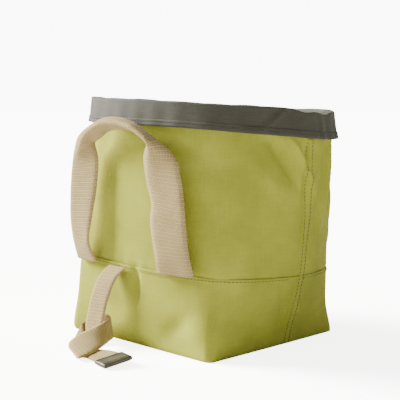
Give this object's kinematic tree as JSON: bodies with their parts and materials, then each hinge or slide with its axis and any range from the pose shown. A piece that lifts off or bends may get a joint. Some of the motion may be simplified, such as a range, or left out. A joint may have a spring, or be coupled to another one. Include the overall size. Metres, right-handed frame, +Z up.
{
  "type": "insulated cooler bag",
  "caption": "Soft open-top insulated tote in canvas with folded-out lining cuff, webbing loop handles and a knotted closure strap with metal tip.",
  "frame": {"origin": "centre of the base, on the floor", "axes": "+Z up; the front with the closure strap faces -Y; the two side seams are at +X and -X"},
  "size_m": [0.2634, 0.2782, 0.2243],
  "materials": {
    "canvas": "plain-weave cotton canvas",
    "foam": "closed-cell foam sheet",
    "board": "stiff base board",
    "lining": "smooth coated lining cloth",
    "cuff_cloth": "dark cloth, folded double",
    "webbing": "ribbed cotton webbing",
    "metal": "dark gunmetal sheet, crimped"
  },
  "bodies": {
    "bag": {"bottom_panel": "canvas", "base_board": "board", "base_foam": "foam", "lining_bottom": "lining", "base_front_panel": "canvas", "base_back_panel": "canvas", "upper_front_panel": "canvas", "upper_back_panel": "canvas", "side_seam_right": "canvas", "side_seam_left": "canvas", "waist_seam_front": "canvas", "waist_seam_back": "canvas", "foam_front": "foam", "foam_back": "foam", "lining_front": "lining", "lining_back": "lining"},
    "cuff": {"cuff_front": "cuff_cloth", "cuff_back": "cuff_cloth", "cuff_hem": "cuff_cloth"},
    "front_loop": {"front_handle": "webbing"},
    "back_loop": {"back_handle": "webbing"},
    "strap": {"closure_strap": "webbing", "strap_tip": "metal"}
  },
  "joints": [
    {"name": "front_handle_swing", "type": "hinge", "parent": "bag", "child": "front_loop", "pos_m": [0, -0.0885, 0.071], "axis": [1, 0, 0], "range_deg": [0, 90]},
    {"name": "back_handle_swing", "type": "hinge", "parent": "bag", "child": "back_loop", "pos_m": [0, 0.0885, 0.066], "axis": [-1, 0, 0], "range_deg": [0, 90]},
    {"name": "strap_swing", "type": "hinge", "parent": "bag", "child": "strap", "pos_m": [0, -0.092, 0.07], "axis": [-1, 0, 0], "range_deg": [0, 110]},
    {"name": "cuff_raise", "type": "slide", "parent": "bag", "child": "cuff", "axis": [0, 0, 1], "range_m": [0, 0.021]}
  ]
}
